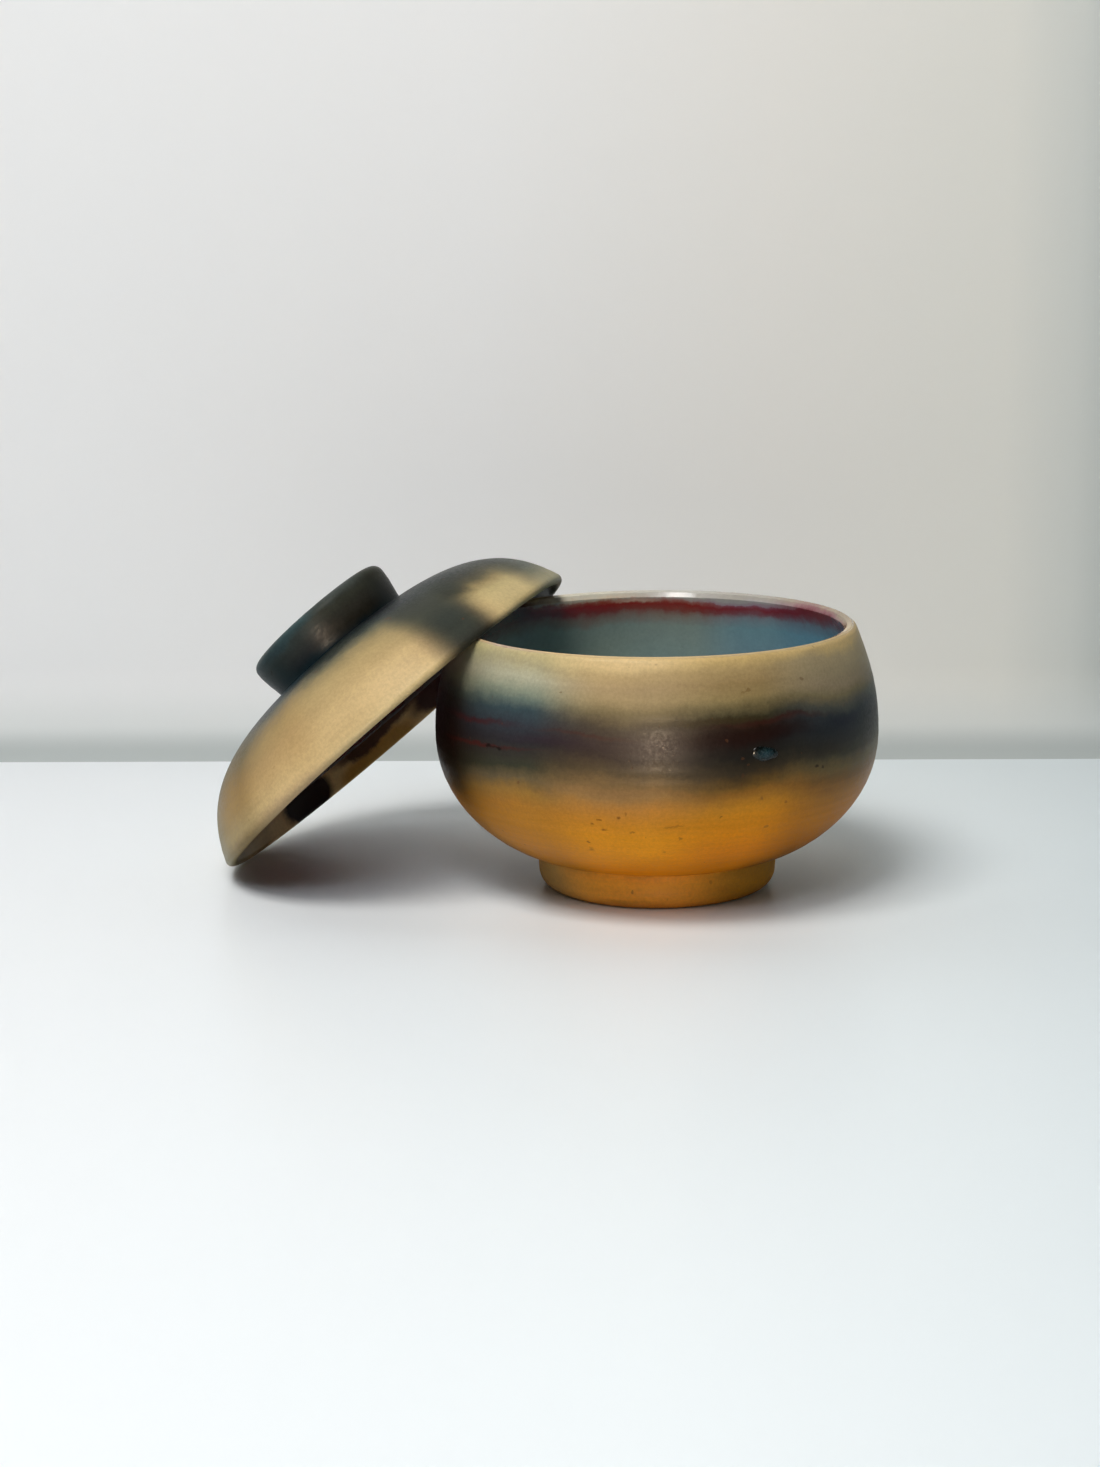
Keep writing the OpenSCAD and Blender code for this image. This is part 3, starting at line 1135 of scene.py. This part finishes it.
LINING_SIDES = (
    Side(-90, 0, "14 7c8a80, 50 7f8f88, 74 86938a, 78 7c4c44, 81 7a2420, 82.6 b09a84, 84.4 c4aa7c"),
    Side(148, 44,
         "14 6a7a70, 60 77887c, 71 6f7e7e, 74.5 62504c, 77 4a0f12, 79.5 3c0508, 81.6 4a0806, 83 6a3c2c, "
         "84.4 b8a070"),
    Side(108, 32,
         "14 7a8a7e, 60 83948a, 73 8c9a90, 76.4 8e7468, 78.2 8a3630, 80.2 981a16, 81.4 a04a38, "
         "82.4 c8b8a0, 83.6 c4c0b0, 84.4 c2bcaa"),
    Side(78, 30,
         "14 7a8d84, 60 7f9490, 73 92a29b, 76.5 96887e, 78.4 8e4840, 80.3 962a26, 81.4 a46a60, "
         "82.4 b4b0a6, 84.4 b8b6ae"),
    Side(50, 30,
         "14 6c8690, 60 6f8a96, 73 7aa0ac, 76.5 88949e, 78.4 86545e, 80.3 88303c, 81.6 905668, "
         "82.8 a8a4a6, 84.4 a8a49c"),
    Side(20, 36,
         "14 5e7f90, 60 5f88a0, 73 6496b0, 76.8 687c90, 78.6 6c4858, 80.4 721f30, 81.8 701c2a, "
         "82.8 8c5c62, 84.4 96866e"),
)
LINING_STAINS_AND_HIGHLIGHT = (
    # Painted highlight: the first mark is a pale glint on the inner edge of the far lip. The second is the
    # glaze's own lavender tint.
    StainAndHighlight(97, 81.3, 12, 0.9, "e0c8b0", 0.6),
    StainAndHighlight(62, 81.9, 30, 0.7, "b8b0c0", 0.4),
)

LID_SIDES = (
    Side(-90, 0, "0 c4a878, 8 b89c6c, 15 94845c, 21 5c5c48, 26 2c3832, 31.5 12191a"),
    Side(35, 48, "0 847c5e, 5 84784f, 12 786a40, 18 605638, 23 545040, 26 484a40, 31.5 14201f"),
    Side(60, 28,
         "0 86724c, 3 a89264, 9 9a7e4c, 15 8e7242, 20 705e38, 23.5 5a5034, 26.5 504c3a, 28.6 1a201f, "
         "31.5 0a1416"),
    Side(85, 26,
         "0 ac9470, 4 c6ab7a, 10 b89c6c, 16 aa8e60, 21 9a8254, 24 86724a, 26.2 665c44, 27.6 36392f, "
         "29.2 15262c, 31.5 0e1f24"),
    Side(112, 26,
         "0 cab484, 5 c6ac7c, 11 bda476, 16 ae976a, 20 a48f62, 23.4 8a7a52, 25.4 605a40, 27.2 2c3028, "
         "29 101a1a, 31.5 0a1212"),
    Side(141, 13.5,
         "0 30302a, 5 31352e, 12 30352f, 17 383b32, 22 34362e, 25 242820, 27 10181a, 31.5 050a0c"),
    Side(163, 16,
         "0 d4c294, 3 bca97a, 8 b8a678, 12 b09f70, 15.5 84744e, 18 504a34, 21 2c2c22, 25 1e2420, "
         "31.5 060c0a"),
    Side(184, 18, "0 a09c80, 3 8c8668, 6 6a6a54, 10 484c40, 15 34382e, 20 282c26, 25 1e2420, 31.5 0a100e"),
    Side(225, 40, "0 3c3d35, 8 333831, 15 2b3029, 24 222a27, 31.5 141b1b"),
)
LID_STAINS = (
    StainAndHighlight(151, 20, 8, 10, "24281f", 0.9, 0.2),
    StainAndHighlight(176, 14, 13, 5, "4a4a38", 0.5, 0.1),
    StainAndHighlight(-4, 4, 14, 8, "a08a58", 0.8, 0.5, inside=True),
    StainAndHighlight(-58, 1.5, 24, 6, "a07830", 0.9, 0.6, inside=True),
    StainAndHighlight(-62, 7.6, 30, 3.2, "2c0608", 0.95, 0.5, inside=True),
    StainAndHighlight(-100, 4, 34, 9, "280609", 1.0, 0.8, inside=True),
    StainAndHighlight(-30, 4, 13, 9, "160303", 1.0, 0.7, inside=True),
    StainAndHighlight(132.5, 24.2, 0.9, 0.7, "4a3420", 0.8, 0.2),
)

GRIP_SIDES = (
    Side(-90, 0, "30 0a1214, 34 191c1b, 41 26271f, 45 3a3c34"),
    Side(45, 50, "30 14282c, 33 1a2c30, 39 24302f, 43 2c3c3e, 45 46504e"),
    Side(95, 34, "30 051a20, 32 0c1e24, 34 22272a, 37 2e3230, 40 2e3634, 43 36484a, 45 4a5654"),
    Side(135, 34, "30 061014, 32.5 1e1c16, 36 2c2b25, 40 32342c, 43 3e4340, 45 4e5452"),
)
GRIP_STAINS = (
    StainAndHighlight(110, 34, 12, 2.4, "3a342c", 0.5),
    StainAndHighlight(78, 41.5, 14, 2.0, "24383e", 0.5),
)

RED_SIDES = (
    Side(90, 0, "6 120404, 8.2 26080a, 11 541012, 18 701416, 25 7c2020, 31 602024"),
    Side(-90, 180, "6 140606, 9 36090c, 18 5e1418, 26 6c2a2c, 31 56262c"),
)
RED_STAINS = (
    StainAndHighlight(-40, 20, 40, 12, "382a3e", 0.4),
)


# ---------------- studio


@dataclass(frozen=True)
class Softbox:
    """A flat lamp: where it hangs and looks in metres, its size, and its power in watts.

    A lamp that doesn't fill only shows in reflections.
    """

    name: str
    at: tuple[float, float, float]
    look: tuple[float, float, float]
    wide: float
    tall: float
    watts: float
    colour: str = "ffffff"
    fill: bool = True

    def hang(self) -> None:
        """Adds the lamp, unseen by the camera itself."""
        lamp = bpy.data.lights.new(self.name, "AREA")
        lamp.shape = "RECTANGLE"
        lamp.size, lamp.size_y, lamp.energy = self.wide, self.tall, self.watts
        lamp.color = linear(self.colour)[:3]
        made = bpy.data.objects.new(self.name, lamp)
        made.location = self.at
        made.rotation_mode = "QUATERNION"
        made.rotation_quaternion = (Vector(self.at) - Vector(self.look)).to_track_quat("Z", "Y")
        made.visible_camera, made.visible_diffuse = False, self.fill
        bpy.context.scene.collection.objects.link(made)


@dataclass
class Studio:
    """A pale table before a soft grey wall, a large soft lamp, a wash over the table and a warm window.

    The window only shows as a highlight. Sizes in metres.
    """

    wall_at: float = 0.212
    wall_height: float = 3.0
    cove: float = 0.03
    floor_reach: float = 6.0
    step_behind: float = 0.0002
    fill: float = 0.02

    def strip(self, name: str, line: np.ndarray) -> bpy.types.Object:
        """A sheet: a line in the side plane carried straight across, as x = s, (y, z) from the line.

        Args:
            name: The sheet's name.
            line: Points as (y, z) in metres.

        Returns:
            The sheet.
        """
        across = np.linspace(-self.floor_reach, self.floor_reach, 25)
        x = np.broadcast_to(across[None, :], (len(line), len(across)))
        grid = np.stack([x, np.broadcast_to(line[:, :1], x.shape), np.broadcast_to(line[:, 1:], x.shape)], -1)
        n = np.arange(x.size).reshape(x.shape)
        quads = np.stack([n[:-1, :-1], n[:-1, 1:], n[1:, 1:], n[1:, :-1]], -1).reshape(-1, 4)
        sheet = mesh_object(name, grid.reshape(-1, 3) / MM, quads.tolist())
        return sheet

    def table(self) -> None:
        """The table: pale lacquer, semi-gloss, cooler and a little darker to the right, where the darkening
        is painted shade.
        """
        bench = Bench("pale_table_lacquer")
        # Painted shade: the lacquer's colour cools and darkens from left to right.
        across = bench.add("SeparateXYZ", (bench.add("TexCoord", out="Object"),))
        share = bench.add("MapRange", (across, -0.3, 0.3, 0.0, 1.0), **SMOOTH)
        paint = bench.add("ValToRGB", (share,), ramp=[(0.0, "e4e9ed"), (0.5, "e4ecf0"), (1.0, "d6e1e6")])
        lacquer = bench.skin(paint, 0.32, 0.12)
        edge = self.wall_at - self.cove
        front = np.array([[-self.floor_reach, 0.0], [-0.5, 0.0], [0.0, 0.0], [edge, 0.0]])
        behind = np.array([[edge, -self.step_behind], [self.floor_reach, -self.step_behind]])
        for name, line in (("table_top", front), ("table_top_behind", behind)):
            self.strip(name, line).data.materials.append(lacquer)

    def wall(self) -> None:
        """The wall: matt and one-sided, with painted light and shade: light and warm in the middle, a painted
        grey-green shade to the right, and a painted shade along its foot by the table.
        """
        bench = Bench("matt_wall_paint")
        part = bench.add("SeparateXYZ", (bench.add("TexCoord", out="Object"),)).node.outputs
        # Painted light and shade across the wall: light and warm in the middle, a grey-green painted shade to
        # the right.
        across = bench.add("MapRange", (part[0], -0.22, 0.22, 0.0, 1.0))
        ramp = [(0.0, "eaeced"), (0.35, "ebecec"), (0.60, "e8e7e3"), (0.80, "e2e2dc"), (0.86, "d4d7d3"),
                (0.91, "b9c0be"), (1.0, "b0b7b6")]
        paint = bench.add("ValToRGB", (across,), ramp=ramp)
        # Painted shade: two soft darker bands along the foot of the wall, where it meets the table.
        for low, high, share, code in ((0.0, 0.03, 0.8, "c6cdcd"), (0.001, 0.010, 0.6, "98a1a1")):
            painted_foot_shade = bench.add("MapRange", (part[2], low, high, share, 0.0), **SMOOTH)
            paint = bench.add("Mix", {0: painted_foot_shade, 6: paint, 7: linear(code)}, **COLOURS)
        matt = bench.add("BsdfDiffuse", {"Color": paint, "Roughness": 0.4})
        sides = (bench.add("NewGeometry", out="Backfacing"), matt, bench.add("BsdfTransparent"))
        turn = np.radians(np.linspace(-90, 0, 13))
        y = self.wall_at - self.cove + self.cove * np.cos(turn)
        z = self.cove + self.cove * np.sin(turn)
        line = np.vstack([np.stack([y, z], -1), [[self.wall_at, 0.5], [self.wall_at, self.wall_height]]])
        self.strip("wall_sheet", line).data.materials.append(bench.closed(bench.add("MixShader", sides)))

    def build(self) -> None:
        """Sets the table, the wall, the world's fill and the lamps."""
        self.table()
        self.wall()
        scene = bpy.context.scene
        world = bpy.data.worlds.new("soft_room")
        scene.world = world
        world.use_nodes = True
        fill = world.node_tree.nodes["Background"]
        fill.inputs[0].default_value = linear("dfe6ee")
        fill.inputs[1].default_value = self.fill
        aim = (-0.03, 0.0, 0.04)
        for lamp in (
            Softbox("key_overhead_left", (-0.40, -0.62, 1.30), aim, 0.75, 0.5, 16.0, "fffaf4"),
            Softbox("front_window", (-0.02, -2.3, 0.07), (0.0, 0.0, 0.06), 0.42, 0.12, 70.0, "ffe4c4", False),
            Softbox("table_wash", (-0.25, -1.35, 1.35), (0.0, -0.3, 0.0), 0.9, 0.5, 9.8, "f8faff"),
        ):
            lamp.hang()
        scene.view_settings.view_transform = "Standard"


@dataclass(frozen=True)
class Camera:
    """A short telephoto a little above the lip, tipped down. Angles in degrees, place in metres."""

    at: tuple[float, float, float] = (0.0, -0.9755, 0.2536)
    pitch: float = 11.858
    yaw: float = -1.987
    roll: float = -0.605
    lens: float = 76.98
    sensor: float = 36.0

    def set_up(self) -> None:
        """Adds the camera and makes it the scene's."""
        p, y, r = (math.radians(v) for v in (self.pitch, self.yaw, self.roll))
        forward = Vector((math.sin(y) * math.cos(p), math.cos(y) * math.cos(p), -math.sin(p)))
        level = Vector((math.cos(y), -math.sin(y), 0))
        up = level.cross(forward)
        right = math.cos(r) * level + math.sin(r) * up
        above = -math.sin(r) * level + math.cos(r) * up
        turn = Matrix((right, above, -forward)).transposed().to_4x4()
        data = bpy.data.cameras.new("short_telephoto")
        data.lens, data.sensor_width = self.lens, self.sensor
        made = bpy.data.objects.new("short_telephoto", data)
        made.matrix_world = Matrix.Translation(self.at) @ turn
        bpy.context.scene.collection.objects.link(made)
        bpy.context.scene.camera = made


def main() -> None:
    """Builds the camera, the studio, the bowl and the lid."""
    logging.basicConfig(level=logging.INFO, format="%(name)s: %(message)s")
    Camera().set_up()
    Studio().build()
    Bowl().build()
    Lid().build()


if __name__ == "__main__":
    main()
